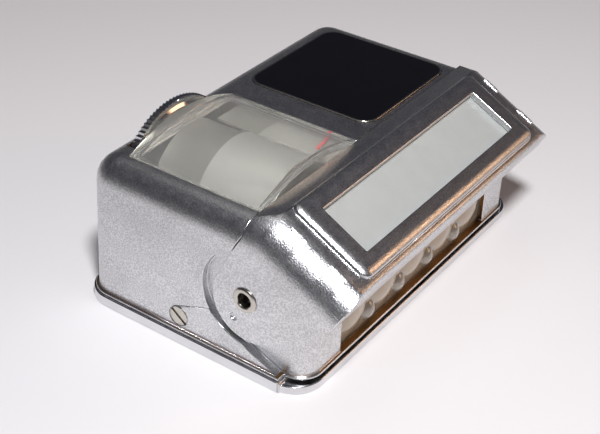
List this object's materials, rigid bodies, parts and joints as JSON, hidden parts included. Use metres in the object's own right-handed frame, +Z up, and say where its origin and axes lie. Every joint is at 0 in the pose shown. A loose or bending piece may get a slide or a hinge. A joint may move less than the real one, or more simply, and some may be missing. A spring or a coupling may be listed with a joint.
{
  "type": "pocket exposure meter",
  "caption": "Pocket photoelectric exposure meter in a chromed case, with a hinged diffuser flap over a honeycomb lens, a scale drum window and a knurled setting wheel.",
  "frame": {"origin": "middle of the flat underside of the base tray", "axes": "+Z up, -Y towards the lens side, +X towards the nameplate side, away from the scale window"},
  "size_m": [0.0614, 0.0452, 0.0271],
  "materials": {
    "satin_chrome": "satin",
    "bright_chrome": "polished",
    "amber_resin": "moulded, clear amber",
    "selenium": "smooth",
    "phenolic": "moulded",
    "bronze": "rolled",
    "clear_acrylic": "polished",
    "black_lacquer": "gloss",
    "nickel": "plated",
    "steel": "turned",
    "opal_glass": "opal, milky",
    "brass": "stamped",
    "scale_paper": "matt",
    "alnico": "cast",
    "soft_iron": "machined",
    "copper": "enamelled wire",
    "red_lacquer": "painted",
    "red_sleeve": "woven sleeve",
    "black_sleeve": "woven sleeve"
  },
  "bodies": {
    "case": {"top_housing": "satin_chrome", "base_tray": "bright_chrome", "honeycomb_lens": "amber_resin", "selenium_cell": "selenium", "cell_carrier": "phenolic", "cell_contact_left": "bronze", "cell_contact_right": "bronze", "window_dome": "clear_acrylic", "nameplate": "black_lacquer", "side_screw_left": "nickel", "side_screw_right": "nickel", "hinge_rivet_left": "nickel", "hinge_rivet_right": "nickel", "hinge_spring_washer_left": "steel", "hinge_spring_washer_right": "steel", "drum_bracket": "brass", "drum_friction_spring": "bronze", "movement_plate": "brass", "meter_magnet": "alnico", "pole_piece_front": "soft_iron", "pole_piece_rear": "soft_iron", "core": "soft_iron", "core_bracket": "brass", "magnet_post_front": "brass", "magnet_post_rear": "brass", "bridge_post": "brass", "bridge_upper": "brass", "bridge_screw": "steel", "jewel_screw_upper": "brass", "jewel_screw_lower": "brass", "hairspring_upper": "bronze", "hairspring_lower": "bronze", "calibration_resistor": "copper", "lead_wire_front": "red_sleeve", "lead_wire_rear": "black_sleeve", "scale_plate": "scale_paper"},
    "flap": {"diffuser_flap": "satin_chrome", "opal_pane": "opal_glass", "pane_retainer": "nickel"},
    "drum": {"drum_shaft": "steel", "scale_drum": "scale_paper", "setting_wheel": "bright_chrome", "shaft_clip": "steel"},
    "needle": {"moving_coil": "copper", "pivot_upper": "steel", "pivot_lower": "steel", "pointer": "red_lacquer", "balance_arm": "brass"},
    "zero_lever": {"zero_lever": "nickel"},
    "zero_screw": {"zero_screw": "nickel"}
  },
  "joints": [
    {"name": "flap_swing", "type": "hinge", "parent": "case", "child": "flap", "pos_m": [0, -0.00949, 0.01206], "axis": [1, 0, 0], "range_deg": [0, 49]},
    {"name": "wheel_turn", "type": "hinge", "parent": "case", "child": "drum", "pos_m": [-0.0139, 0, 0.0152], "axis": [0, 1, 0], "continuous": true},
    {"name": "needle_swing", "type": "hinge", "parent": "case", "child": "needle", "pos_m": [0.009, 0.0012, 0.018], "axis": [0, 0, -1], "range_deg": [0, 47], "stiffness_Nm_per_rad": 0.00002},
    {"name": "zero_screw_turn", "type": "hinge", "parent": "case", "child": "zero_screw", "pos_m": [0.0152, 0.0012, 0.001], "axis": [0, 0, 1], "range_deg": [-30, 30]},
    {"name": "zero_lever_turn", "type": "hinge", "parent": "case", "child": "zero_lever", "pos_m": [0.009, 0.0012, 0.0022], "axis": [0, 0, 1], "range_deg": [-3.1, 3.1]}
  ],
  "couplings": [
    {"joint": "zero_lever_turn", "follows": "zero_screw_turn", "ratio": 0.1014}
  ]
}
